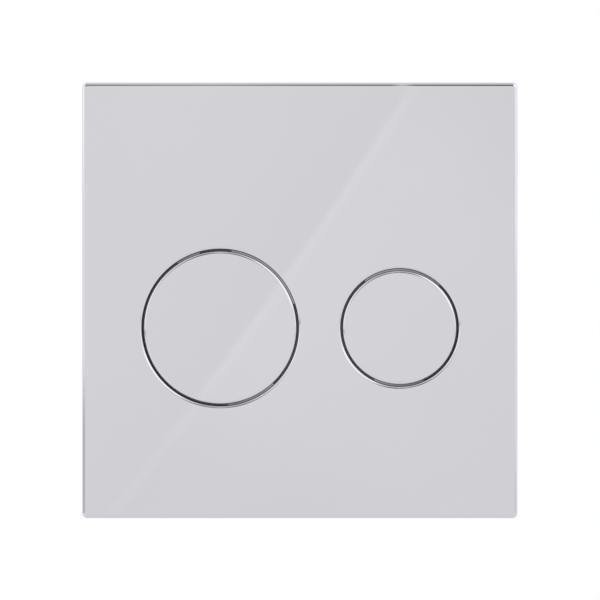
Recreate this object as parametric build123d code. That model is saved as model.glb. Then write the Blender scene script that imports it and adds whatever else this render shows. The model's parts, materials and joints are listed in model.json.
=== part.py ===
from build123d import *
import os
from collections import namedtuple
from math import cos, radians, sin

# Frame: X to the right as seen from the room, Z up, Y into the wall.
# The wall surface is the plane y = 0 and the plate's centre is on x = 0, z = 0.

# Front plate, a square moulded tray
plate_w = 160.0
plate_h = 160.0
plate_depth = 12.0
face_t = 2.5
rim_t = 2.2
corner_r = 2.0
edge_r = 1.5
inner_corner_r = 1.0
hole_edge_r = 1.0
collar_t = 1.8
collar_to_wall = 3.0
plate_rib_t = 1.2
plate_rib_air = 0.5
rib_pitch = 30.0

# Flush buttons
full_d = 56.2
half_d = 41.9
full_x = -29.2
half_x = 36.6
button_z = -10.0
button_gap = 0.6
button_edge_r = 1.0
cap_face_t = 2.2
cap_skirt_t = 2.0
cap_rib_t = 1.2
cap_rib_h = 2.5
cap_rib_count = 6
socket_r = 9.0
socket_t = 2.0
socket_len = 3.8
stroke = 6.0
lug_catch = 1.2
lug_t = 1.5
lug_air = 0.3
full_lugs = ((115.0, 18.0), (50.0, 64.0), (-66.0, 38.0))
half_lugs = ((86.0, 80.0), (-90.0, 50.0))

# Plungers behind the buttons
spigot_clear = 0.2
seat_r = 14.0
seat_t = 2.0
stem_r = 6.0
stem_tail = 4.2
stem_chamfer = 0.6
key_w = 2.0
key_h = 1.0
key_clear = 0.25
groove_depth = 1.0

# Return springs
spring_len = 15.0
spring_r = 10.5
spring_wire = 1.2
spring_turns = 4.5
spring_end_gap = 0.05
spring_locator_gap = 0.4
spring_locator_h = 2.0

# Button carrier, the flange that holds the pots
flange_t = 2.0
flange_overlap_x = 2.0
flange_overlap_z = 4.0
flange_corner_r = 6.0
snap_w = 8.0
snap_t = 1.8
snap_hook = 1.2
snap_dz = 22.0
snap_clear = 0.3
snap_recess = 1.8
snap_recess_reach = 1.2

# Pots that clip into the carrier, with guide tubes for the plungers
pot_clear = 0.2
pot_t = 2.0
pot_floor_t = 2.0
pot_edge_r = 1.5
pot_fit = 0.1
lip_reach = 1.6
lip_t = 1.0
bead_h = 0.6
bead_t = 0.9
bead_air = 0.1
bead_spread = 24.0
bead_turns = (90.0, 210.0, 330.0)
guide_clear = 0.15
guide_t = 2.45
guide_tail = 9.0
stop_gap = 0.3
gusset_t = 1.6
gusset_reach = 7.0
gusset_len = 7.0
gusset_count = 4

# Retaining clips, buffers, lock nuts and push rods
buffer_gap = 0.2
buffer_t = 2.4
buffer_r = 9.0
clip_r = 8.0
clip_band = 1.4
clip_t = 1.2
clip_mouth = 8.0
clip_clear = 0.05
rod_r = 3.9
rod_clear = 0.1
rod_reach = 28.0
rod_bore_depth = 26.0
rod_chamfer = 0.8
lock_nut_af = 14.0
lock_nut_t = 6.0

# Carrier screws
screw_r = 1.4
screw_clear = 0.3
screw_head_r = 2.8
screw_head_h = 1.8
screw_dome = 0.6
recess_w = 0.7
recess_len = 2.8
recess_depth = 0.9
screw_inset = 4.5
pilot_clear = 0.05
pilot_floor = 0.4
boss_t = 1.6

# Mounting frame
frame_clear = 2.0
frame_t = 3.0
frame_corner_r = 4.0
window_gap_x = 1.2
window_gap_z = 3.4
window_corner_r = 5.0
window_rim_t = 3.0
window_rim_h = 1.0
frame_rib_t = 2.0
frame_rib_h = 3.0
relief_h = 26.0
relief_corner_r = 4.0
relief_margin = 7.0

# Fixing studs, washers and thumb nuts
stud_spacing = 100.0
stud_z = 50.0
stud_front_r = 3.0
stud_rear_r = 4.0
stud_reach = 62.0
stud_chamfer = 0.8
stud_collar_r = 5.2
stud_collar_t = 2.1
stud_collar_sink = 0.6
stud_collar_clear = 0.4
stud_hole_clear = 0.3
stud_slot_travel = 7.4
drive_slot_w = 1.0
drive_slot_depth = 1.5
washer_r = 8.0
washer_t = 1.2
nut_r = 9.0
nut_air = 0.7
nut_clear = 0.1
nut_scallops = 8
nut_scallop_r = 2.0
nut_chamfer = 0.5

# Depths worked out from the sizes above
y_wall = 0.0
y_face = -plate_depth
y_face_back = y_face + face_t
y_frame_front = y_wall - frame_t
y_flange_back = y_frame_front - window_rim_h
y_flange_front = y_flange_back - flange_t
y_pot_front = y_flange_front - lip_t
y_collar_back = y_wall - collar_to_wall
y_cap_back = y_face + cap_face_t
y_lug = y_collar_back + lug_air
y_cap_end = y_lug + lug_t
y_socket_end = y_cap_back + socket_len
y_seat = y_socket_end + seat_t
y_floor = y_seat + spring_len
y_floor_back = y_floor + pot_floor_t
y_guide_front = y_seat + stroke + stop_gap
y_guide_back = y_floor_back + guide_tail
y_buffer = y_guide_back + buffer_gap
y_clip = y_buffer + buffer_t
y_stem_end = y_clip + clip_t + 2 * clip_clear + stem_tail
y_rod_end = y_stem_end + rod_reach
y_rod_start = y_stem_end - rod_bore_depth
y_washer_front = y_frame_front - washer_t
y_nut_front = y_face_back + nut_air
y_frame_rib = y_frame_front - frame_rib_h
y_plate_rib = y_frame_rib - plate_rib_air

# The two buttons and the room that each one takes
Button = namedtuple("Button", "name x r lugs hole_r collar_r pot_in_r pot_r")


def button(name, x, diameter, lugs):
    """One round button with the hole, collar and pot that follow from its diameter."""
    r = diameter / 2
    hole_r = r + button_gap
    collar_r = hole_r + collar_t
    pot_in_r = collar_r + pot_clear
    return Button(name, x, r, lugs, hole_r, collar_r, pot_in_r, pot_in_r + pot_t)


full = button("full_flush", full_x, full_d, full_lugs)
half = button("half_flush", half_x, half_d, half_lugs)
buttons = (full, half)

# Window of the mounting frame, which clears both pots
window_left = full.x - full.pot_r - window_gap_x
window_right = half.x + half.pot_r + window_gap_x
window_top = button_z + max(full.pot_r, half.pot_r) + window_gap_z
window_bottom = button_z - max(full.pot_r, half.pot_r) - window_gap_z
window_w = window_right - window_left
window_h = window_top - window_bottom
window_x = (window_left + window_right) / 2
window_z = (window_top + window_bottom) / 2
frame_w = plate_w - 2 * (rim_t + frame_clear)
frame_h = plate_h - 2 * (rim_t + frame_clear)

# Carrier screws stand in the window's corners and between the pots
pots_mid_x = (full.x + full.pot_r + half.x - half.pot_r) / 2
screw_xs = (window_left + screw_inset, pots_mid_x, window_right - screw_inset)
screw_zs = (window_bottom + screw_inset, window_top - screw_inset)
screw_places = [(x, z) for x in screw_xs for z in screw_zs]
stud_xs = (-stud_spacing / 2, stud_spacing / 2)
relief_w = stud_spacing - 2 * (washer_r + relief_margin)
snap_zs = (button_z - snap_dz, button_z + snap_dz)


def slab(sketch, y_front, y_back):
    """Extrude a sketch, drawn as seen from the room, between two depths."""
    plane = Plane(origin=(0, y_back, 0), x_dir=(1, 0, 0), z_dir=(0, -1, 0))
    return extrude(plane * sketch, amount=y_back - y_front)


def turned(profile, x=0.0, z=0.0):
    """Turn a closed profile of (radius, depth) points about a line along Y."""
    return Pos(x, 0, z) * revolve(make_face(Polyline(*profile, close=True)), Axis.Y)


def circles_at(part, radius, y):
    """The circular edges of one radius at one depth."""
    edges = part.edges().filter_by(GeomType.CIRCLE)
    return edges.filter_by(lambda e: abs(e.radius - radius) < 1e-3 and abs(e.arc_center.Y - y) < 1e-3)


def wedge(reach, middle, spread):
    """A three-cornered slice from the centre outwards, about one direction in degrees."""
    ends = [radians(middle - spread / 2), radians(middle + spread / 2)]
    return make_face(Polyline((0, 0), *[(reach * cos(a), reach * sin(a)) for a in ends], close=True))


def make_front_plate():
    """Square tray with a soft front edge, two button holes with collars, screw bosses and ribs."""
    plate = slab(RectangleRounded(plate_w, plate_h, corner_r), y_face, y_wall)
    plate = fillet(plate.faces().sort_by(Axis.Y)[0].edges(), edge_r)
    inner_w = plate_w - 2 * rim_t
    inner_h = plate_h - 2 * rim_t
    plate -= slab(RectangleRounded(inner_w, inner_h, inner_corner_r), y_face_back, y_wall)

    # Stiffening ribs above and below the carrier
    for x in (-rib_pitch, 0.0, rib_pitch):
        for z_from, z_to in plate_rib_spans(inner_h):
            rib = Pos(x, (z_from + z_to) / 2) * Rectangle(plate_rib_t, z_to - z_from)
            plate += slab(rib, y_face_back, y_plate_rib)

    # Collars round the button holes
    for b in buttons:
        plate += slab(Pos(b.x, button_z) * Circle(b.collar_r), y_face_back, y_collar_back)
        plate -= slab(Pos(b.x, button_z) * Circle(b.hole_r), y_face, y_collar_back)

    # Bosses for the carrier screws
    for x, z in screw_places:
        pilot_r = screw_r + pilot_clear
        plate += slab(Pos(x, z) * Circle(pilot_r + boss_t), y_face_back, y_flange_front)
        plate -= slab(Pos(x, z) * Circle(pilot_r), y_face_back + pilot_floor, y_flange_front)

    for b in buttons:
        plate = fillet(circles_at(plate, b.hole_r, y_face), hole_edge_r)
    return plate


def plate_rib_spans(inner_h):
    """Where the plate's upright ribs start and end, above and below the carrier's flange."""
    flange_top = window_top + flange_overlap_z
    flange_bottom = window_bottom - flange_overlap_z
    return ((flange_top, inner_h / 2), (-inner_h / 2, flange_bottom))


def make_cap(b):
    """Round button cap: a shallow cup with a socket for the plunger, ribs and lugs behind the plate's collar."""
    inner_r = b.r - cap_skirt_t
    socket_out = socket_r + socket_t
    cap = slab(Circle(b.r), y_face, y_cap_end)
    cap -= slab(Circle(inner_r), y_cap_back, y_cap_end)
    cap += slab(Circle(socket_out) - Circle(socket_r), y_cap_back, y_socket_end)
    spoke = Rectangle(inner_r - socket_out + 2 * cap_rib_t, cap_rib_t)
    spokes = Sketch() + PolarLocations((inner_r + socket_out) / 2, cap_rib_count) * spoke
    spokes = spokes & (Circle(b.r - cap_skirt_t / 2) - Circle(socket_r + socket_t / 2))
    cap += slab(spokes, y_cap_back, y_cap_back + cap_rib_h)
    skirt_mid = Circle(b.r - cap_skirt_t / 2)
    for middle, spread in b.lugs:
        lug = (Circle(b.hole_r + lug_catch) - skirt_mid) & wedge(2 * b.r, middle, spread)
        cap += slab(lug, y_lug, y_cap_end)
    cap = fillet(circles_at(cap, b.r, y_face), button_edge_r)
    return Pos(b.x, 0, button_z) * cap


def make_plunger(b):
    """Plunger: a spigot for the cap, a spring seat and a keyed stem bored for the push rod."""
    groove_r = stem_r - groove_depth
    y_groove_end = y_clip + clip_t + 2 * clip_clear
    spigot_r = socket_r - spigot_clear
    profile = [
        (0, y_cap_back + spigot_clear),
        (spigot_r, y_cap_back + spigot_clear),
        (spigot_r, y_socket_end),
        (seat_r, y_socket_end),
        (seat_r, y_seat),
        (stem_r, y_seat),
        (stem_r, y_clip),
        (groove_r, y_clip),
        (groove_r, y_groove_end),
        (stem_r, y_groove_end),
        (stem_r, y_stem_end - stem_chamfer),
        (stem_r - stem_chamfer, y_stem_end),
        (0, y_stem_end),
    ]
    plunger = turned(profile)
    key = Rectangle(2 * (stem_r + key_h), key_w)
    plunger += slab(key, y_seat, y_guide_back)
    plunger -= slab(Circle(rod_r + rod_clear), y_rod_start - rod_clear, y_stem_end)
    return Pos(b.x, 0, button_z) * plunger


def make_spring(b):
    """Return spring of round wire between the plunger's seat and the pot's floor."""
    wire_r = spring_wire / 2
    end = wire_r + spring_end_gap
    height = spring_len - 2 * end
    start = (b.x, y_seat + end, button_z)
    path = Helix(height / spring_turns, height, spring_r, center=start, direction=(0, 1, 0))
    section = Plane(origin=path @ 0, z_dir=path % 0) * Circle(wire_r)
    return sweep(section, path, is_frenet=True)


def make_carrier():
    """Carrier: a flange with a round seat for each pot, and four snap arms."""
    flange_w = window_w + 2 * flange_overlap_x
    flange_h = window_h + 2 * flange_overlap_z
    outline = Pos(window_x, window_z) * RectangleRounded(flange_w, flange_h, flange_corner_r)
    for b in buttons:
        outline -= Pos(b.x, button_z) * Circle(b.pot_r + pot_fit)
    for x, z in screw_places:
        outline -= Pos(x, z) * Circle(screw_r + screw_clear)
    carrier = slab(outline, y_flange_front, y_flange_back)
    for side, edge in ((-1, window_left), (1, window_right)):
        for z in snap_zs:
            carrier += make_snap_arm(side, edge, z)
    return carrier


def make_pot(b):
    """Pot with a lip in front of the carrier, beads that snap in behind it, and a guide tube."""
    place = Pos(b.x, button_z)
    pot = slab(place * Circle(b.pot_r), y_pot_front, y_floor_back)
    pot = fillet(circles_at(pot, b.pot_r, y_floor_back), pot_edge_r)
    pot += slab(place * Circle(b.pot_r + lip_reach), y_pot_front, y_flange_front)
    pot -= slab(place * Circle(b.pot_in_r), y_pot_front, y_floor)
    y_bead = y_flange_back + bead_air
    for turn in bead_turns:
        ring = Circle(b.pot_r + bead_h) - Circle(b.pot_r - pot_t / 2)
        bead = ring & wedge(2 * b.pot_r, turn, bead_spread)
        pot += slab(place * bead, y_bead, y_bead + bead_t)
    return add_guide(pot, b)


def add_guide(pot, b):
    """Add the guide tube of a pot, with its spring locator, gussets and key slots."""
    bore_r = stem_r + guide_clear
    tube_r = bore_r + guide_t
    locator_r = spring_r - spring_wire / 2 - spring_locator_gap
    place = Pos(b.x, button_z)
    pot += slab(place * Circle(tube_r), y_guide_front, y_guide_back)
    pot += slab(place * Circle(locator_r), y_floor - spring_locator_h, y_floor)
    gusset = make_face(
        Polyline(
            (tube_r - gusset_t / 2, y_floor_back),
            (tube_r + gusset_reach, y_floor_back),
            (tube_r - gusset_t / 2, y_floor_back + gusset_len),
            close=True,
        )
    )
    gusset = extrude(gusset, amount=gusset_t / 2, both=True)
    for i in range(gusset_count):
        turn = 360 / gusset_count * (i + 0.5)
        pot += Pos(b.x, 0, button_z) * Rot(0, turn, 0) * gusset
    key_slot = Rectangle(2 * (stem_r + key_h + key_clear), key_w + 2 * key_clear)
    pot -= slab(place * (Circle(bore_r) + key_slot), y_guide_front, y_guide_back)
    return pot


def make_snap_arm(side, edge, z):
    """Snap arm that hooks behind the frame's window edge, inside its recess."""
    x_out = edge - side * snap_clear
    x_in = x_out - side * snap_t
    x_hook = x_out + side * snap_hook
    y_hook = y_wall - snap_recess + snap_clear
    y_tip = y_wall - snap_clear
    outline = Polyline(
        (x_in, y_flange_back),
        (x_out, y_flange_back),
        (x_out, y_hook),
        (x_hook, y_hook),
        (x_out, y_tip),
        (x_in, y_tip),
        close=True,
    )
    return Pos(0, 0, z) * extrude(make_face(outline), amount=snap_w / 2, both=True)


def make_clip(b):
    """Retaining clip: an open ring with three prongs that reach into the stem's groove."""
    groove_r = stem_r - groove_depth + clip_clear
    band_in = clip_r - clip_band
    prong_w = 2 * clip_band
    ring = Circle(clip_r) - Circle(band_in)
    for angle in (0, 90, 180):
        prong = Pos((groove_r + band_in) / 2, 0) * Rectangle(band_in - groove_r + clip_band, prong_w)
        ring += Rot(0, 0, angle) * prong
    ring -= Circle(groove_r)
    ring -= Pos(0, -clip_r) * Rectangle(clip_mouth, 2 * clip_r)
    return slab(Pos(b.x, button_z) * ring, y_clip + clip_clear, y_clip + clip_clear + clip_t)


def make_buffer(b):
    """Rubber ring that softens the return stop between the guide tube and the clip."""
    ring = Circle(buffer_r) - Circle(stem_r + clip_clear)
    return slab(Pos(b.x, button_z) * ring, y_buffer, y_clip)


def make_push_rod(b):
    """Push rod that reaches back to the flush valve, screwed into the plunger's stem."""
    profile = [
        (0, y_rod_start),
        (rod_r - rod_chamfer, y_rod_start),
        (rod_r, y_rod_start + rod_chamfer),
        (rod_r, y_rod_end - rod_chamfer),
        (rod_r - rod_chamfer, y_rod_end),
        (0, y_rod_end),
    ]
    return turned(profile, b.x, button_z)


def make_lock_nut(b):
    """Hexagon nut that locks the push rod against the stem, with its corners turned off."""
    corner = lock_nut_af / 2 / cos(radians(30))
    bevel = (corner - lock_nut_af / 2) / 2
    y_nut_end = y_stem_end + lock_nut_t
    hexagon = slab(RegularPolygon(corner, 6), y_stem_end, y_nut_end)
    crown = turned(
        [
            (rod_r + rod_clear, y_stem_end),
            (lock_nut_af / 2, y_stem_end),
            (corner, y_stem_end + bevel),
            (corner, y_nut_end - bevel),
            (lock_nut_af / 2, y_nut_end),
            (rod_r + rod_clear, y_nut_end),
        ]
    )
    return Pos(b.x, 0, button_z) * (hexagon & crown)


def make_carrier_screws():
    """Pan-head screws with a cross recess that hold the carrier to the plate's bosses."""
    y_tip = y_face_back + pilot_floor + pilot_clear
    y_head = y_flange_back + screw_head_h
    profile = [
        (0, y_tip),
        (screw_r / 2, y_tip),
        (screw_r, y_tip + screw_r),
        (screw_r, y_flange_back),
        (screw_head_r, y_flange_back),
        (screw_head_r, y_head - screw_dome),
        (screw_head_r - screw_dome, y_head),
        (0, y_head),
    ]
    cross = Rectangle(recess_w, recess_len) + Rectangle(recess_len, recess_w)
    screw = turned(profile) - slab(cross, y_head - recess_depth, y_head)
    return Compound(children=[Pos(x, 0, z) * screw for x, z in screw_places])


def make_mounting_frame():
    """Frame on the wall with a window for the pots, a relief window, stud slots and snap recesses."""
    window = Pos(window_x, window_z) * RectangleRounded(window_w, window_h, window_corner_r)
    rim_outline = RectangleRounded(
        window_w + 2 * window_rim_t, window_h + 2 * window_rim_t, window_corner_r + window_rim_t
    )
    border = RectangleRounded(frame_w, frame_h, frame_corner_r)
    border_in = RectangleRounded(frame_w - 2 * frame_rib_t, frame_h - 2 * frame_rib_t, frame_rib_t)

    frame = slab(border, y_frame_front, y_wall)
    frame += slab(border - border_in, y_frame_rib, y_frame_front)
    frame += slab(Pos(window_x, window_z) * rim_outline, y_flange_back, y_frame_front)
    frame -= slab(window, y_flange_back, y_wall)

    # Relief window between the studs
    relief = Pos(0, stud_z) * RectangleRounded(relief_w, relief_h, relief_corner_r)
    frame -= slab(relief, y_frame_front, y_wall)

    # Slotted holes for the studs, sunk at the back for the studs' collars
    hole_w = 2 * (stud_front_r + stud_hole_clear)
    sink_w = 2 * (stud_collar_r + stud_collar_clear)
    for x in stud_xs:
        place = Pos(x, stud_z)
        frame -= slab(place * SlotCenterToCenter(stud_slot_travel, hole_w), y_frame_front, y_wall)
        sink = place * SlotCenterToCenter(stud_slot_travel, sink_w)
        frame -= slab(sink, y_wall - stud_collar_sink, y_wall)

    # Recesses that the snap arms hook into from behind
    reach = snap_hook + snap_recess_reach
    for side, edge in ((-1, window_left), (1, window_right)):
        for z in snap_zs:
            recess = Pos(edge + side * reach / 2, z) * Rectangle(reach, snap_w + 2 * snap_recess_reach)
            frame -= slab(recess, y_wall - snap_recess, y_wall)
    return frame


def make_studs():
    """Fixing studs: a thread for the thumb nut, a collar behind the frame and a long rear thread."""
    y_collar = y_wall - stud_collar_sink
    y_collar_end = y_collar + stud_collar_t
    profile = [
        (0, y_nut_front),
        (stud_front_r - stud_chamfer, y_nut_front),
        (stud_front_r, y_nut_front + stud_chamfer),
        (stud_front_r, y_collar),
        (stud_collar_r, y_collar),
        (stud_collar_r, y_collar_end),
        (stud_rear_r, y_collar_end),
        (stud_rear_r, stud_reach - stud_chamfer),
        (stud_rear_r - stud_chamfer, stud_reach),
        (0, stud_reach),
    ]
    drive = slab(Rectangle(2 * stud_front_r, drive_slot_w), y_nut_front, y_nut_front + drive_slot_depth)
    stud = turned(profile) - drive
    return Compound(children=[Pos(x, 0, stud_z) * stud for x in stud_xs])


def make_washers():
    """Flat washers that bridge the frame's slotted holes."""
    ring = Circle(washer_r) - Circle(stud_front_r + nut_clear)
    return Compound(children=[slab(Pos(x, stud_z) * ring, y_washer_front, y_frame_front) for x in stud_xs])


def make_thumb_nuts():
    """Round thumb nuts with a scalloped grip."""
    grip = Circle(nut_r) - Circle(stud_front_r + nut_clear)
    grip -= Sketch() + PolarLocations(nut_r + nut_scallop_r / 2, nut_scallops) * Circle(nut_scallop_r)
    nut = slab(grip, y_nut_front, y_washer_front)
    nut = chamfer(nut.faces().sort_by(Axis.Y)[0].outer_wire().edges(), nut_chamfer)
    return Compound(children=[Pos(x, 0, stud_z) * nut for x in stud_xs])


parts = {
    "front_plate": make_front_plate(),
    "button_carrier": make_carrier(),
    "carrier_screws": make_carrier_screws(),
    "mounting_frame": make_mounting_frame(),
    "fixing_studs": make_studs(),
    "fixing_washers": make_washers(),
    "fixing_thumb_nuts": make_thumb_nuts(),
}
for b in buttons:
    parts[b.name + "_button"] = make_cap(b)
    parts[b.name + "_pot"] = make_pot(b)
    parts[b.name + "_plunger"] = make_plunger(b)
    parts[b.name + "_spring"] = make_spring(b)
    parts[b.name + "_retaining_clip"] = make_clip(b)
    parts[b.name + "_buffer"] = make_buffer(b)
    parts[b.name + "_push_rod"] = make_push_rod(b)
    parts[b.name + "_lock_nut"] = make_lock_nut(b)

os.makedirs("parts", exist_ok=True)
for name, shape in parts.items():
    export_step(shape, "parts/" + name + ".step")
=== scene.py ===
import json
import math

import bmesh
import bpy
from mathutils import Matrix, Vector


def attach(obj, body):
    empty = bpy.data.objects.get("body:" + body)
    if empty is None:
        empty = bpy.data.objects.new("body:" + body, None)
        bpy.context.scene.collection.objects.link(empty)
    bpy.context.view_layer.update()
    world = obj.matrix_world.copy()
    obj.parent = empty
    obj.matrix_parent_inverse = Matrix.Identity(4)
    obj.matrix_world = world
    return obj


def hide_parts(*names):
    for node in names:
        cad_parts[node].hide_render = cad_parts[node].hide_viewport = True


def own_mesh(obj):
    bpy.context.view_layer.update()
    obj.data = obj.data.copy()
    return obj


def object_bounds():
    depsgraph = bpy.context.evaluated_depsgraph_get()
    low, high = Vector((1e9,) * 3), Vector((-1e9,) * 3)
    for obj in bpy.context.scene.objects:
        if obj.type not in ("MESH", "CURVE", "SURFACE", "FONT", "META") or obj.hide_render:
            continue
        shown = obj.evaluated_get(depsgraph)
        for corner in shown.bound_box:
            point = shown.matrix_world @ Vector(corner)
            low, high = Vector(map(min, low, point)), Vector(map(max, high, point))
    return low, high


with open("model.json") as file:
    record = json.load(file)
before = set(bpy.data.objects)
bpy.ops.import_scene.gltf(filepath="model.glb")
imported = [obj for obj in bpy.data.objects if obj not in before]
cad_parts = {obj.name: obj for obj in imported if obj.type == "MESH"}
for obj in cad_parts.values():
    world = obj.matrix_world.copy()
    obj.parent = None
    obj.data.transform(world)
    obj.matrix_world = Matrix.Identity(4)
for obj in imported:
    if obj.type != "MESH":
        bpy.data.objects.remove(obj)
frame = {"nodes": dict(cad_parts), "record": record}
cad_low, cad_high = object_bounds()
nodes = frame["nodes"]
mounts = {mount["name"]: mount for mount in frame["record"]["mounts"]}
scene = bpy.context.scene

# Places and outer sizes from the frame, in metres
PLATE_HALF = cad_high.x
FACE_Y = cad_low.y
CAP_R = {"full_flush": 0.0281, "half_flush": 0.02095}
ROD_ENDS = {side: Vector(mounts[side + "_rod_end"]["pos_m"]) for side in CAP_R}
BUTTONS = {side: (ROD_ENDS[side].x, r) for side, r in CAP_R.items()}
BUTTON_Z = ROD_ENDS["full_flush"].z
STUD_FIXING = mounts["fixing_studs"]

# Chrome edges
COLLAR_END = -0.003
EDGE_R = 0.0015
CORNER_R = 0.002
HOLE_EDGE_R = 0.001
CAP_EDGE_R = 0.001
BUTTON_GAP = 0.0006
CORNER_STEPS = 16
EDGE_STEPS = 16
ROUND_STEPS = 224
FRONT = Vector((0, -1, 0))
NEAR = 2e-5
# Depths over which the painted shade in the gaps rises from none to full
GAP_SHADE_FROM = -0.0115
GAP_SHADE_TO = -0.0105

# Return springs, push rods and studs
SPRING_R = 0.0105
SPRING_WIRE_R = 0.0006
SPRING_FROM = -0.00335
SPRING_TO = 0.01035
SPRING_TURNS = 4.5
ROD_R = 0.0039
ROD_LENGTH = 0.054
ROD_PITCH = 0.00175
STUD_R = STUD_FIXING["dims"]["stud_r_mm"] / 1000
STUD_SPACING = STUD_FIXING["dims"]["spacing_x_mm"] / 1000
STUD_XS = (-STUD_SPACING / 2, STUD_SPACING / 2)
STUD_Z = STUD_FIXING["pos_m"][2]
STUD_COLLAR_END = 0.0015
STUD_TO = cad_high.y
STUD_PITCH = 0.00125
THREAD_DEPTH_OF_PITCH = 0.6
THREAD_FLAT = 0.12
THREAD_CHAMFER = 0.0008
THREAD_SIDES = 40
THREAD_STEPS = 10
COIL_STEPS = 40
WIRE_SIDES = 14

# Faces that meet below these angles shade as one
SHARP_ANGLE = math.radians(55)
SHALLOW_COSINE = 0.86


# Node helpers

def new_tree(material):
    """Empty node tree of a material, with an output and a Principled shader."""
    material.use_nodes = True
    tree = material.node_tree
    tree.nodes.clear()
    out = tree.nodes.new("ShaderNodeOutputMaterial")
    shader = tree.nodes.new("ShaderNodeBsdfPrincipled")
    tree.links.new(shader.outputs["BSDF"], out.inputs["Surface"])
    return tree, shader


def add(tree, kind, links=(), **values):
    """Add a node; values set its properties or inputs, links join (from socket, to input) pairs."""
    node = tree.nodes.new(kind)
    for key, value in values.items():
        if hasattr(node, key):
            setattr(node, key, value)
        else:
            node.inputs[key.replace("_", " ")].default_value = value
    for source, target in links:
        tree.links.new(source, node.inputs[target])
    return node


def noise(tree, coords, scale, detail=3.0, rough=0.55):
    node = add(tree, "ShaderNodeTexNoise", [(coords, "Vector")])
    node.inputs["Scale"].default_value = scale
    node.inputs["Detail"].default_value = detail
    node.inputs["Roughness"].default_value = rough
    return node.outputs["Fac"]


def spread(tree, value, low, high, start=0.3, end=0.7):
    """Map a noise value onto a range of roughness or brightness."""
    node = add(tree, "ShaderNodeMapRange", [(value, "Value")])
    node.inputs["From Min"].default_value = start
    node.inputs["From Max"].default_value = end
    node.inputs["To Min"].default_value = low
    node.inputs["To Max"].default_value = high
    return node.outputs["Result"]


def tint(tree, value, dark, light):
    """Colour that goes from dark to light with a value."""
    node = tree.nodes.new("ShaderNodeMix")
    node.data_type = "RGBA"
    tree.links.new(value, node.inputs["Factor"])
    for socket in node.inputs:
        if socket.type == "RGBA":
            socket.default_value = (*(dark if socket.name == "A" else light), 1)
    return [socket for socket in node.outputs if socket.type == "RGBA"][0]


def bump(tree, shader, height, depth, strength=1.0):
    node = add(tree, "ShaderNodeBump", [(height, "Height")])
    node.inputs["Distance"].default_value = depth
    node.inputs["Strength"].default_value = strength
    tree.links.new(node.outputs["Normal"], shader.inputs["Normal"])


# Materials

def chrome_plating():
    """Bright chrome with painted shade in the gaps: its colour and edge tint darken and its gloss softens
    where the mesh's gap shade attribute rises.
    """
    material = bpy.data.materials.new("chrome_plating")
    tree, shader = new_tree(material)
    coords = add(tree, "ShaderNodeTexCoord").outputs["Object"]
    shade = spread(tree, noise(tree, coords, 18.0), 0.0, 1.0)
    bright = tint(tree, shade, (0.626, 0.619, 0.653), (0.634, 0.626, 0.661))
    # Painted shade: a darker chrome colour and edge tint that the gaps take on deeper inside
    patches = spread(tree, noise(tree, coords, 160.0), 0.0, 1.0)
    gap_shade_colour = tint(tree, patches, (0.26, 0.266, 0.295), (0.30, 0.306, 0.335))
    painted_gap_shade = add(tree, "ShaderNodeAttribute", attribute_name="painted_gap_shade").outputs["Fac"]
    shade_mix = add(tree, "ShaderNodeMix", data_type="RGBA")
    colours = [socket for socket in shade_mix.inputs if socket.type == "RGBA"]
    tree.links.new(painted_gap_shade, shade_mix.inputs["Factor"])
    tree.links.new(bright, colours[0])
    tree.links.new(gap_shade_colour, colours[1])
    mixed_colour = [socket for socket in shade_mix.outputs if socket.type == "RGBA"][0]
    tree.links.new(mixed_colour, shader.inputs["Base Color"])
    haze = spread(tree, noise(tree, coords, 260.0, 4.0), 0.01, 0.02)
    rough = add(tree, "ShaderNodeMath", operation="MULTIPLY_ADD")
    rough.inputs[1].default_value = 0.04
    tree.links.new(painted_gap_shade, rough.inputs[0])
    tree.links.new(haze, rough.inputs[2])
    tree.links.new(rough.outputs[0], shader.inputs["Roughness"])
    tree.links.new(tint(tree, painted_gap_shade, (1.0, 1.0, 1.0), (0.25, 0.27, 0.30)), shader.inputs["Specular Tint"])
    shader.inputs["Metallic"].default_value = 1.0
    return material


def moulded_plastic(name, dark, light, rough, grain=2400.0, painted_glow=0.0):
    """Moulded plastic with a fine satin grain, slow flow tone and, where given, a painted glow that
    lightens it where light does not reach.
    """
    material = bpy.data.materials.new(name)
    tree, shader = new_tree(material)
    coords = add(tree, "ShaderNodeTexCoord").outputs["Object"]
    flow = spread(tree, noise(tree, coords, 35.0), 0.0, 1.0)
    tree.links.new(tint(tree, flow, dark, light), shader.inputs["Base Color"])
    fine = noise(tree, coords, grain, 2.0)
    tree.links.new(spread(tree, fine, rough - 0.06, rough + 0.06), shader.inputs["Roughness"])
    bump(tree, shader, fine, 0.00002, 0.6)
    shader.inputs["IOR"].default_value = 1.5
    # Painted glow: a faint light of the plastic's own, which lifts it in the shaded bottoms of the gaps
    shader.inputs["Emission Color"].default_value = (0.78, 0.735, 0.75, 1)
    shader.inputs["Emission Strength"].default_value = painted_glow
    return material


def plated_steel(name, dark, light, rough, streak):
    """Plated or drawn steel with fine streaks and patches of tone."""
    material = bpy.data.materials.new(name)
    tree, shader = new_tree(material)
    coords = add(tree, "ShaderNodeTexCoord").outputs["Object"]
    stretch = add(tree, "ShaderNodeMapping", [(coords, "Vector")])
    stretch.inputs["Scale"].default_value = streak
    patches = spread(tree, noise(tree, coords, 420.0), 0.0, 1.0)
    tree.links.new(tint(tree, patches, dark, light), shader.inputs["Base Color"])
    lines = noise(tree, stretch.outputs["Vector"], 900.0, 3.0)
    tree.links.new(spread(tree, lines, rough - 0.1, rough + 0.1), shader.inputs["Roughness"])
    bump(tree, shader, lines, 0.00001, 0.5)
    shader.inputs["Metallic"].default_value = 1.0
    return material


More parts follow.
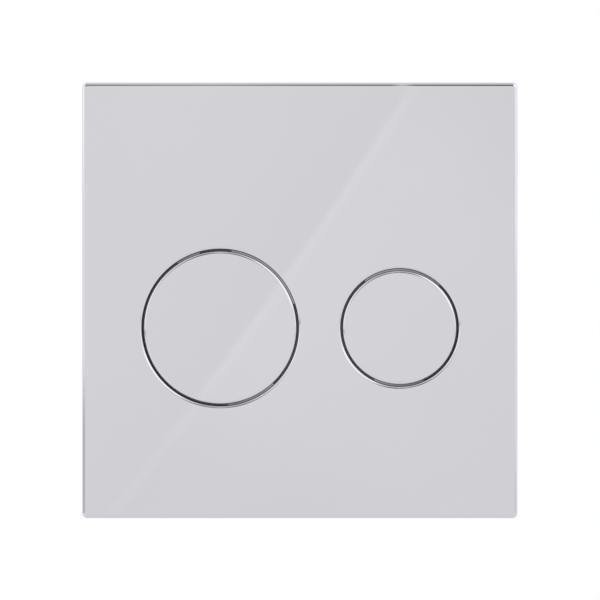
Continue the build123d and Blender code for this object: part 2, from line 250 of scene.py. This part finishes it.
def black_rubber():
    material = bpy.data.materials.new("black_rubber")
    tree, shader = new_tree(material)
    coords = add(tree, "ShaderNodeTexCoord").outputs["Object"]
    bloom = spread(tree, noise(tree, coords, 300.0), 0.0, 1.0)
    tree.links.new(tint(tree, bloom, (0.02, 0.02, 0.02), (0.04, 0.04, 0.042)), shader.inputs["Base Color"])
    fine = noise(tree, coords, 2600.0, 2.0)
    tree.links.new(spread(tree, fine, 0.62, 0.85), shader.inputs["Roughness"])
    bump(tree, shader, fine, 0.00004, 0.6)
    return material


MATERIALS = {
    "chrome_plating": chrome_plating(),
    # The white mouldings carry a painted glow, which lightens the bottoms of the button gaps
    "white_abs": moulded_plastic("white_abs", (0.74, 0.74, 0.715), (0.80, 0.80, 0.785), 0.42, painted_glow=0.038),
    "grey_abs": moulded_plastic("grey_abs", (0.39, 0.40, 0.41), (0.45, 0.46, 0.47), 0.46),
    "white_acetal": moulded_plastic("white_acetal", (0.79, 0.79, 0.765), (0.84, 0.84, 0.825), 0.3),
    "zinc_plated_steel": plated_steel(
        "zinc_plated_steel", (0.57, 0.585, 0.60), (0.66, 0.665, 0.66), 0.34, (1, 1, 1)
    ),
    "spring_steel": plated_steel("spring_steel", (0.44, 0.44, 0.44), (0.54, 0.54, 0.53), 0.32, (1, 8, 1)),
    "black_rubber": black_rubber(),
}
SLOT_OF = {row["node"]: row["material_slot"] for row in frame["record"]["subparts"]}


def finish_with(obj, slot):
    obj.data.materials.clear()
    obj.data.materials.append(MATERIALS[slot])


for name, obj in nodes.items():
    finish_with(obj, SLOT_OF[name])


# Chrome pieces: smooth front skins over the CAD form

def new_piece(name, mesh, slot):
    obj = bpy.data.objects.new(name, mesh)
    scene.collection.objects.link(obj)
    finish_with(obj, slot)
    return obj


def merged(node):
    """The CAD node's form as one joined-up mesh to work on."""
    work = bmesh.new()
    work.from_mesh(nodes[node].data)
    bmesh.ops.remove_doubles(work, verts=work.verts, dist=1e-7)
    return work


def square_row(reach, y, tilt):
    """Points and normals round the plate, reach out from the centres of its corner arcs."""
    inset = PLATE_HALF - CORNER_R
    row = []
    for corner, (side, rise) in enumerate(((1, 1), (-1, 1), (-1, -1), (1, -1))):
        for i in range(CORNER_STEPS + 1):
            turn = math.radians(90 * (corner + i / CORNER_STEPS))
            out = Vector((math.cos(turn), 0, math.sin(turn)))
            place = Vector((side * inset, y, rise * inset)) + out * reach
            row.append((place, out * math.cos(tilt) + FRONT * math.sin(tilt)))
    return row


def round_row(x, r, y, facing, tilt):
    """Points and normals round a button's axis, facing out from it (1) or in to it (-1)."""
    row = []
    for i in range(ROUND_STEPS):
        turn = 2 * math.pi * i / ROUND_STEPS
        out = Vector((math.cos(turn), 0, math.sin(turn)))
        place = Vector((x, y, BUTTON_Z)) + out * r
        row.append((place, out * facing * math.cos(tilt) + FRONT * math.sin(tilt)))
    return row


def tilts():
    """Steps from a side wall round to the front face."""
    return [math.radians(90 * i / EDGE_STEPS) for i in range(EDGE_STEPS + 1)]


def plate_edge_rows():
    rows = [square_row(CORNER_R, 0.0, 0.0)]
    for t in tilts():
        reach = CORNER_R - EDGE_R + EDGE_R * math.cos(t)
        rows.append(square_row(reach, FACE_Y + EDGE_R - EDGE_R * math.sin(t), t))
    return rows


def hole_rows(x, r):
    rows = [round_row(x, r, COLLAR_END, -1, 0.0), round_row(x, r, GAP_SHADE_TO, -1, 0.0)]
    for t in tilts():
        reach = r + HOLE_EDGE_R - HOLE_EDGE_R * math.cos(t)
        rows.append(round_row(x, reach, FACE_Y + HOLE_EDGE_R - HOLE_EDGE_R * math.sin(t), -1, t))
    return rows


def cap_rows(x, r):
    rows = []
    for t in tilts():
        reach = r - CAP_EDGE_R + CAP_EDGE_R * math.cos(t)
        rows.append(round_row(x, reach, FACE_Y + CAP_EDGE_R - CAP_EDGE_R * math.sin(t), 1, t))
    return rows


def add_skin(work, strips):
    """Add strips of rows to a mesh, and fill the flat face that their last rows bound."""
    true_normals = {}
    rims = []
    for rows in strips:
        rings = []
        for row in rows:
            ring = [work.verts.new(place) for place, normal in row]
            true_normals.update(zip(ring, (normal for place, normal in row)))
            rings.append(ring)
        for a, b in zip(rings, rings[1:]):
            for i in range(len(a)):
                corners = [a[i - 1], a[i], b[i], b[i - 1]]
                face = work.faces.new(corners)
                face.normal_update()
                if face.normal.dot(true_normals[a[i]] + true_normals[b[i]]) < 0:
                    face.normal_flip()
        last = rings[-1]
        rims += [work.edges.get((last[i - 1], last[i])) for i in range(len(last))]
    filled = bmesh.ops.triangle_fill(work, use_beauty=True, use_dissolve=False, edges=rims, normal=FRONT)
    for face in filled["geom"]:
        if isinstance(face, bmesh.types.BMFace):
            face.normal_update()
            if face.normal.dot(FRONT) < 0:
                face.normal_flip()
    return true_normals


def chrome_mesh(name, work, true_normals):
    """Mesh with the skin's true normals, and elsewhere normals shared across shallow angles."""
    work.verts.index_update()
    work.normal_update()
    known = {v.index: normal for v, normal in true_normals.items()}
    corners = []
    for face in work.faces:
        for v in face.verts:
            normal = known.get(v.index)
            if normal is None:
                normal = Vector()
                for other in v.link_faces:
                    if other.normal.dot(face.normal) > SHALLOW_COSINE:
                        normal += other.normal * other.calc_area()
                normal.normalize()
            corners.append(normal)
        face.smooth = True
    mesh = bpy.data.meshes.new(name)
    work.to_mesh(mesh)
    work.free()
    mesh.normals_split_custom_set(corners)
    return mesh


def paint_gap_shade(mesh, is_wall):
    """Mark the gaps' walls for painted shade, more and more from their rounded edges inward."""

    def gap_shade_amount(place):
        return is_wall(place) * min(max((place.y - GAP_SHADE_FROM) / (GAP_SHADE_TO - GAP_SHADE_FROM), 0.0), 1.0)

    marks = mesh.attributes.new("painted_gap_shade", "FLOAT", "POINT")
    marks.data.foreach_set("value", [gap_shade_amount(v.co) for v in mesh.vertices])


def off_axis(place, x):
    return math.hypot(place.x - x, place.z - BUTTON_Z)


def on_plate_skin(face):
    """True for the CAD faces that the plate's new skin stands for."""
    places = [v.co for v in face.verts]
    if all(p.y < FACE_Y + EDGE_R + NEAR for p in places):
        return True
    for x, r in BUTTONS.values():
        if all(abs(off_axis(p, x) - r - BUTTON_GAP) < NEAR for p in places):
            return True
    inset = PLATE_HALF - CORNER_R
    reaches = [math.hypot(max(abs(p.x) - inset, 0), max(abs(p.z) - inset, 0)) for p in places]
    return all(abs(reach - CORNER_R) < NEAR for reach in reaches)


def front_plate():
    work = merged("front_plate")
    bmesh.ops.delete(work, geom=[f for f in work.faces if on_plate_skin(f)], context="FACES")
    strips = [plate_edge_rows()]
    strips += [hole_rows(x, r + BUTTON_GAP) for x, r in BUTTONS.values()]
    mesh = chrome_mesh("front_plate_chrome", work, add_skin(work, strips))

    def in_hole(place):
        return any(abs(off_axis(place, x) - r - BUTTON_GAP) < HOLE_EDGE_R for x, r in BUTTONS.values())

    # Painted shade on the hole walls, deeper from the rounded edges
    paint_gap_shade(mesh, in_hole)
    plate = new_piece("front_plate_chrome", mesh, "chrome_plating")
    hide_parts("front_plate")
    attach(plate, "plate")


def button_cap(side):
    x, r = BUTTONS[side]
    work = merged(side + "_button")
    front = [f for f in work.faces if all(v.co.y < FACE_Y + CAP_EDGE_R + NEAR for v in f.verts)]
    bmesh.ops.delete(work, geom=front, context="FACES")
    name = side + "_button_chrome"
    mesh = chrome_mesh(name, work, add_skin(work, [cap_rows(x, r)]))
    # Painted shade on the cap, deeper back from its front edge
    paint_gap_shade(mesh, lambda place: True)
    cap = new_piece(name, mesh, "chrome_plating")
    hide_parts(side + "_button")
    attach(cap, side)


# Springs and screw threads, grown along a helix by geometry nodes

class Tree:
    """A geometry node tree with named inputs, and short ways to add its nodes."""

    def __init__(self, name, **inputs):
        self.group = bpy.data.node_groups.new(name, "GeometryNodeTree")
        sockets = self.group.interface
        sockets.new_socket("Geometry", in_out="OUTPUT", socket_type="NodeSocketGeometry")
        for label, value in inputs.items():
            kind = "NodeSocketInt" if isinstance(value, int) else "NodeSocketFloat"
            sockets.new_socket(label, in_out="INPUT", socket_type=kind).default_value = value
        sockets.new_socket("finish", in_out="INPUT", socket_type="NodeSocketMaterial")
        self.given = self.group.nodes.new("NodeGroupInput").outputs

    def node(self, kind, *values, **settings):
        made = self.group.nodes.new(kind)
        for key, value in settings.items():
            setattr(made, key, value)
        for socket, value in zip(made.inputs, values):
            if isinstance(value, bpy.types.NodeSocket):
                self.group.links.new(value, socket)
            elif value is not None:
                socket.default_value = value
        return made

    def math(self, operation, *values):
        return self.node("ShaderNodeMath", *values, operation=operation).outputs[0]

    def end(self, geometry):
        """Smooth the surface, realize it, give it its finish and hand it out."""
        smooth = self.node("GeometryNodeSetShadeSmooth", geometry).outputs[0]
        real = self.node("GeometryNodeRealizeInstances", smooth).outputs[0]
        painted = self.node("GeometryNodeSetMaterial", real)
        self.group.links.new(self.given["finish"], painted.inputs["Material"])
        out = self.group.nodes.new("NodeGroupOutput")
        self.group.links.new(painted.outputs[0], out.inputs[0])
        return self.group

    def grow(self, name, slot, **values):
        """The tree's result with these inputs, as a plain mesh."""
        carrier = bpy.data.objects.new(name, bpy.data.meshes.new(name))
        scene.collection.objects.link(carrier)
        modifier = carrier.modifiers.new("grow", "NODES")
        values["finish"] = MATERIALS[slot]
        ids = {s.name: s.identifier for s in self.group.interface.items_tree if s.in_out == "INPUT"}
        modifier.node_group = self.group
        for label, value in values.items():
            modifier[ids[label]] = value
        seen = carrier.evaluated_get(bpy.context.evaluated_depsgraph_get())
        mesh = bpy.data.meshes.new_from_object(seen)
        bpy.data.objects.remove(carrier)
        work = bmesh.new()
        work.from_mesh(mesh)
        bmesh.ops.recalc_face_normals(work, faces=work.faces)
        work.to_mesh(mesh)
        work.free()
        mesh.set_sharp_from_angle(angle=SHARP_ANGLE)
        return mesh


def coil_tree():
    """Round wire wound along Y."""
    tree = Tree(
        "coil_spring", turns=4.5, radius=0.01, wire_radius=0.0005, length=0.01, x=0.0, start=0.0, z=0.0,
    )
    given = tree.given
    radius = given["radius"]
    wind = tree.node("GeometryNodeCurveSpiral", COIL_STEPS, given["turns"], radius, radius, given["length"])
    place = tree.node("ShaderNodeCombineXYZ", given["x"], given["start"], given["z"]).outputs[0]
    laid = tree.node("GeometryNodeTransform", wind.outputs[0])
    laid.inputs["Rotation"].default_value = (math.radians(-90), 0, 0)
    tree.group.links.new(place, laid.inputs["Translation"])
    section = tree.node("GeometryNodeCurvePrimitiveCircle", mode="RADIUS")
    section.inputs["Resolution"].default_value = WIRE_SIDES
    tree.group.links.new(given["wire_radius"], section.inputs["Radius"])
    wire = tree.node("GeometryNodeCurveToMesh", laid.outputs[0])
    tree.group.links.new(section.outputs[0], wire.inputs["Profile Curve"])
    wire.inputs["Fill Caps"].default_value = True
    tree.end(wire.outputs[0])
    return tree


def thread_tree():
    """Round bar along Y with a screw thread cut into it and chamfered ends."""
    tree = Tree(
        "screw_thread", radius=0.004, depth=0.0007, pitch=0.00125, length=0.05, chamfer=0.0008,
        step=0.0002, rows=200, x=0.0, start=0.0, z=0.0,
    )
    given, sums = tree.given, tree.math
    length = given["length"]
    span = sums("MULTIPLY_ADD", given["step"], 2.0, length)
    grid = tree.node("GeometryNodeMeshGrid", 1.0, span, THREAD_SIDES + 1, given["rows"])
    split = tree.node("ShaderNodeSeparateXYZ", tree.node("GeometryNodeInputPosition").outputs[0])
    turn = sums("ADD", split.outputs[0], 0.5)
    raw = sums("MULTIPLY_ADD", length, 0.5, split.outputs[1])
    along = sums("MINIMUM", sums("MAXIMUM", raw, 0.0), length)
    phase = sums("FRACT", sums("SUBTRACT", sums("DIVIDE", along, given["pitch"]), turn))
    flank = sums("ABSOLUTE", sums("MULTIPLY_ADD", phase, 2.0, -1.0))
    cut = tree.node("ShaderNodeMapRange", flank, THREAD_FLAT, 1 - THREAD_FLAT, 0.0, 1.0).outputs[0]
    bar = sums("SUBTRACT", given["radius"], sums("MULTIPLY", cut, given["depth"]))
    end_r = sums("SUBTRACT", given["radius"], given["chamfer"])
    to_end = sums("MINIMUM", along, sums("SUBTRACT", length, along))
    bar = sums("MINIMUM", bar, sums("ADD", end_r, to_end))
    half_step = sums("MULTIPLY", given["step"], 0.5)
    inside = sums("MULTIPLY", sums("GREATER_THAN", raw, sums("MULTIPLY", half_step, -1.0)),
                  sums("LESS_THAN", raw, sums("ADD", length, half_step)))
    bar = sums("MULTIPLY", bar, inside)
    angle = sums("MULTIPLY", turn, 2 * math.pi)
    px = sums("MULTIPLY_ADD", bar, sums("COSINE", angle), given["x"])
    pz = sums("MULTIPLY_ADD", bar, sums("SINE", angle), given["z"])
    place = tree.node("ShaderNodeCombineXYZ", px, sums("ADD", along, given["start"]), pz).outputs[0]
    bent = tree.node("GeometryNodeSetPosition", grid.outputs[0])
    tree.group.links.new(place, bent.inputs["Position"])
    closed = tree.node("GeometryNodeMergeByDistance", bent.outputs[0])
    closed.inputs["Distance"].default_value = 1e-6
    tree.end(closed.outputs[0])
    return tree


def threaded_bar(name, slot, radius, pitch, x, z, start, stop):
    length = stop - start
    rows = int(length / pitch * THREAD_STEPS)
    return THREAD.grow(
        name, slot, radius=radius, depth=THREAD_DEPTH_OF_PITCH * pitch, pitch=pitch, length=length,
        chamfer=THREAD_CHAMFER, step=length / (rows - 3), rows=rows, x=x, start=start, z=z,
    )


def return_spring(side):
    name = side + "_spring_coil"
    mesh = COIL.grow(
        name, "spring_steel", turns=SPRING_TURNS, radius=SPRING_R, wire_radius=SPRING_WIRE_R,
        length=SPRING_TO - SPRING_FROM, x=BUTTONS[side][0], start=SPRING_FROM, z=BUTTON_Z,
    )
    coil = new_piece(name, mesh, "spring_steel")
    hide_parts(side + "_spring")
    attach(coil, "plate")
    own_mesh(coil)


def push_rod(side):
    name = side + "_push_rod_threaded"
    end = ROD_ENDS[side]
    mesh = threaded_bar(name, "white_acetal", ROD_R, ROD_PITCH, end.x, end.z, end.y - ROD_LENGTH, end.y)
    rod = new_piece(name, mesh, "white_acetal")
    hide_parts(side + "_push_rod")
    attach(rod, side)


def fixing_studs():
    """The studs' fronts and collars from the CAD, with long threads behind."""
    work = merged("fixing_studs")
    rear = [f for f in work.faces if all(v.co.y > STUD_COLLAR_END - NEAR for v in f.verts)
            and any(v.co.y > STUD_COLLAR_END + NEAR for v in f.verts)]
    bmesh.ops.delete(work, geom=rear, context="FACES")
    for x in STUD_XS:
        bar = threaded_bar(
            "stud_thread", "zinc_plated_steel", STUD_R, STUD_PITCH, x, STUD_Z, STUD_COLLAR_END, STUD_TO
        )
        work.from_mesh(bar)
        bpy.data.meshes.remove(bar)
    mesh = bpy.data.meshes.new("fixing_studs_threaded")
    work.to_mesh(mesh)
    work.free()
    mesh.polygons.foreach_set("use_smooth", [True] * len(mesh.polygons))
    mesh.set_sharp_from_angle(angle=SHARP_ANGLE)
    studs = new_piece("fixing_studs_threaded", mesh, "zinc_plated_steel")
    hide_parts("fixing_studs")
    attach(studs, "plate")


COIL = coil_tree()
THREAD = thread_tree()
front_plate()
for side in BUTTONS:
    button_cap(side)
    return_spring(side)
    push_rod(side)
fixing_studs()


# World, lights and camera

def world_light():
    """White to the camera, a pale studio with dark gaps to the chrome, and even light to the rest."""
    world = bpy.data.worlds.new("studio")
    scene.world = world
    world.use_nodes = True
    tree = world.node_tree
    tree.nodes.clear()
    link = tree.links.new
    out = tree.nodes.new("ShaderNodeOutputWorld")
    direction = tree.nodes.new("ShaderNodeTexCoord").outputs["Generated"]
    split = add(tree, "ShaderNodeSeparateXYZ", [(direction, "Vector")])
    dx, dy, dz = (split.outputs[k] for k in "XYZ")

    def sums(operation, a, b=None, c=None):
        node = tree.nodes.new("ShaderNodeMath")
        node.operation = operation
        for socket, value in zip(node.inputs, (a, b, c)):
            if value is None:
                continue
            if isinstance(value, (int, float)):
                socket.default_value = value
            else:
                link(value, socket)
        return node.outputs[0]

    def step(value, low, high):
        """0 below low and 1 above high."""
        node = tree.nodes.new("ShaderNodeMapRange")
        node.interpolation_type = "SMOOTHSTEP"
        link(value, node.inputs["Value"])
        node.inputs["From Min"].default_value = low
        node.inputs["From Max"].default_value = high
        return node.outputs["Result"]

    def band(value, low, high, soft):
        return sums("SUBTRACT", step(value, low - soft, low + soft), step(value, high - soft, high + soft))

    def both(*areas):
        product = areas[0]
        for area in areas[1:]:
            product = sums("MULTIPLY", product, area)
        return product

    def lay(level, area, value):
        """Put a brightness over an area of the surroundings."""
        return sums("MULTIPLY_ADD", sums("SUBTRACT", value, level), area, level)

    def graded(value, low, high, stops):
        """Brightness up to 2 that follows a list of (value, brightness) stops."""
        place = tree.nodes.new("ShaderNodeMapRange")
        link(value, place.inputs["Value"])
        place.inputs["From Min"].default_value = low
        place.inputs["From Max"].default_value = high
        ramp = tree.nodes.new("ShaderNodeValToRGB")
        link(place.outputs["Result"], ramp.inputs["Fac"])
        marks = ramp.color_ramp.elements
        while len(marks) < len(stops):
            marks.new(0.5)
        for mark, (at, bright) in zip(marks, stops):
            mark.position = (at - low) / (high - low)
        for mark, (at, bright) in zip(marks, stops):
            mark.color = (bright / 2, bright / 2, bright / 2, 1)
        return sums("MULTIPLY", ramp.outputs["Color"], 2.0)

    # Where a direction lies: degrees away from straight ahead and around that line, slopes and halves
    front = sums("MULTIPLY", dy, -1.0)
    turned = sums("DEGREES", sums("ARCCOSINE", front))
    around = sums("DEGREES", sums("ARCTAN2", dz, dx))
    side_slope = sums("DIVIDE", dx, sums("MAXIMUM", front, 0.05))
    rise_slope = sums("DIVIDE", dz, sums("MAXIMUM", front, 0.05))
    reach = sums("MAXIMUM", sums("POWER", sums("SINE", sums("RADIANS", turned)), 2.0), 0.0001)
    to_right = sums("DIVIDE", sums("POWER", sums("MAXIMUM", dx, 0.0), 2.0), reach)
    to_left = sums("DIVIDE", sums("POWER", sums("MINIMUM", dx, 0.0), 2.0), reach)
    upper = step(dz, -0.02, 0.02)
    right_half = step(dx, -0.02, 0.02)
    left_half = sums("SUBTRACT", 1.0, right_half)

    # Pale walls: each side has its own brightness from straight ahead to far behind
    walls = graded(turned, 0, 180, ((0, 1.0), (35, 0.98), (90, 0.97), (180, 0.95)))
    ceiling = graded(turned, 0, 180, ((0, 1.0), (60, 1.0), (90, 1.04), (140, 1.18), (180, 1.18)))
    right = graded(turned, 0, 180, ((0, 1.0), (25, 1.0), (45, 1.07), (90, 1.14), (140, 1.2), (180, 1.2)))
    left = graded(turned, 0, 180, ((0, 1.0), (20, 1.0), (35, 1.12), (110, 1.15), (180, 1.1)))
    level = lay(walls, upper, ceiling)
    level = lay(level, to_right, right)
    level = lay(level, to_left, left)

    # A white panel in front has a slanting, slightly bowed edge, which fades towards its ends,
    # and a fine bright line along that edge
    slant = math.radians(35)
    cosine, sine = math.cos(slant), math.sin(slant)
    across = sums("MULTIPLY_ADD", rise_slope, -sine, sums("MULTIPLY", side_slope, cosine))
    along = sums("MULTIPLY_ADD", rise_slope, cosine, sums("MULTIPLY", side_slope, sine))
    bowed = sums("MULTIPLY_ADD", sums("MULTIPLY", along, along), 0.3, across)
    fade = band(along, -0.055, 0.085, 0.03)
    panel = both(step(bowed, -0.011, -0.0085), fade)
    slow = graded(bowed, -0.1, 0.1, ((-0.05, 1.03), (-0.012, 1.0), (0.01, 1.0), (0.08, 0.965)))
    bright_line = band(bowed, -0.01, -0.0065, 0.0015)
    tone = sums("MULTIPLY_ADD", panel, 0.045, slow)
    tone = sums("MULTIPLY_ADD", bright_line, 0.025, tone)
    ahead = sums("SUBTRACT", 1.0, step(turned, 8, 20))
    level = lay(level, ahead, sums("MULTIPLY", level, tone))

    # Soft boxes to the right, to the upper right and to the upper left
    box_right = both(band(turned, 36, 122, 8), step(dz, 0.0, 0.03), right_half, band(around, -5, 25, 8))
    level = lay(level, box_right, 1.28)
    box_upper_right = both(band(turned, 14, 95, 4), band(around, 16, 64, 5))
    level = lay(level, box_upper_right, 1.5)
    box_upper_left = both(band(turned, 60, 92, 6), band(dz, 0.05, 0.6, 0.02), left_half)
    level = lay(level, box_upper_left, 1.5)

    # Dark gap above the camera, with a lighter break in it
    depth_stops = ((8, 0.0), (13, 1.0), (32, 1.0), (42, 0.6), (58, 0.3), (78, 0.17), (110, 0.04))
    depth = graded(turned, 0, 180, depth_stops)
    dark = graded(dx, -0.35, 0.25, ((-0.11, 0.06), (-0.075, 0.3), (-0.03, 0.45), (0.0, 0.28), (0.07, 0.13)))
    dark = lay(dark, band(dx, 0.0355, 0.0395, 0.003), 0.8)
    gap = both(depth, band(dx, -0.3, 0.21, 0.04), step(dz, 0.09, 0.14))
    level = lay(level, gap, dark)

    # Dark stands to the lower left and lower right
    low_left = both(left_half, band(dz, -0.09, -0.034, 0.016), band(turned, 24, 90, 6))
    level = lay(level, low_left, 0.66)
    low_right = both(right_half, band(dz, -0.12, -0.063, 0.016), band(turned, 26, 68, 8))
    level = lay(level, low_right, 0.85)

    chrome_side = tree.nodes.new("ShaderNodeBackground")
    link(level, chrome_side.inputs["Strength"])
    chrome_side.inputs["Color"].default_value = (1, 1, 1, 1)
    plain = tree.nodes.new("ShaderNodeBackground")
    plain.inputs["Color"].default_value = (1, 1, 1, 1)
    plain.inputs["Strength"].default_value = 0.5
    white = tree.nodes.new("ShaderNodeBackground")
    white.inputs["Color"].default_value = (1, 1, 1, 1)
    white.inputs["Strength"].default_value = 1.0
    path = tree.nodes.new("ShaderNodeLightPath")
    shiny = sums("MAXIMUM", path.outputs["Is Glossy Ray"], path.outputs["Is Transmission Ray"])
    first = tree.nodes.new("ShaderNodeMixShader")
    link(shiny, first.inputs[0])
    link(plain.outputs[0], first.inputs[1])
    link(chrome_side.outputs[0], first.inputs[2])
    second = tree.nodes.new("ShaderNodeMixShader")
    link(path.outputs["Is Camera Ray"], second.inputs[0])
    link(first.outputs[0], second.inputs[1])
    link(white.outputs[0], second.inputs[2])
    link(second.outputs[0], out.inputs["Surface"])


def soft_light(name, place, target, size, watts):
    data = bpy.data.lights.new(name, "AREA")
    data.shape = "RECTANGLE"
    data.size, data.size_y = size
    data.energy = watts
    lamp = bpy.data.objects.new(name, data)
    scene.collection.objects.link(lamp)
    lamp.location = place
    aim = Vector(target) - Vector(place)
    lamp.rotation_euler = aim.to_track_quat("-Z", "Y").to_euler()
    lamp.visible_glossy = False
    lamp.visible_camera = False


def pale_floor():
    """Plain pale disc well below the plate."""
    work = bmesh.new()
    bmesh.ops.create_circle(work, cap_ends=True, radius=0.5, segments=96)
    mesh = bpy.data.meshes.new("floor")
    work.to_mesh(mesh)
    work.free()
    for v in mesh.vertices:
        v.co += Vector((0, -0.1, -0.2))
    floor = bpy.data.objects.new("floor", mesh)
    scene.collection.objects.link(floor)
    material = bpy.data.materials.new("pale_floor")
    tree, shader = new_tree(material)
    coords = add(tree, "ShaderNodeTexCoord").outputs["Object"]
    tone = spread(tree, noise(tree, coords, 6.0), 0.0, 1.0)
    tree.links.new(tint(tree, tone, (0.86, 0.86, 0.86), (0.88, 0.88, 0.88)), shader.inputs["Base Color"])
    shader.inputs["Roughness"].default_value = 0.8
    mesh.materials.append(material)
    floor.visible_glossy = False


def head_on_camera():
    data = bpy.data.cameras.new("camera")
    camera = bpy.data.objects.new("camera", data)
    scene.collection.objects.link(camera)
    distance = 1.0
    width = 0.22028
    sensor = 36.0
    aim_x, aim_z = 0.00007, 0.00011
    data.sensor_width = sensor
    data.lens = sensor * distance / width
    camera.location = (aim_x, FACE_Y + EDGE_R - distance, aim_z)
    camera.rotation_euler = (math.radians(90), 0, 0)
    data.clip_start, data.clip_end = 0.01, 20.0
    scene.camera = camera


world_light()
soft_light("key", (0.7, -0.9, 1.0), (0, 0, 0), (0.8, 0.8), 11.0)
soft_light("fill", (-0.9, -0.5, 0.5), (0, 0, 0), (0.9, 0.9), 5.5)
soft_light("back", (0.3, 1.0, 0.8), (0, 0.02, 0), (0.9, 0.9), 6.5)
pale_floor()
head_on_camera()
scene.view_settings.view_transform = "Standard"
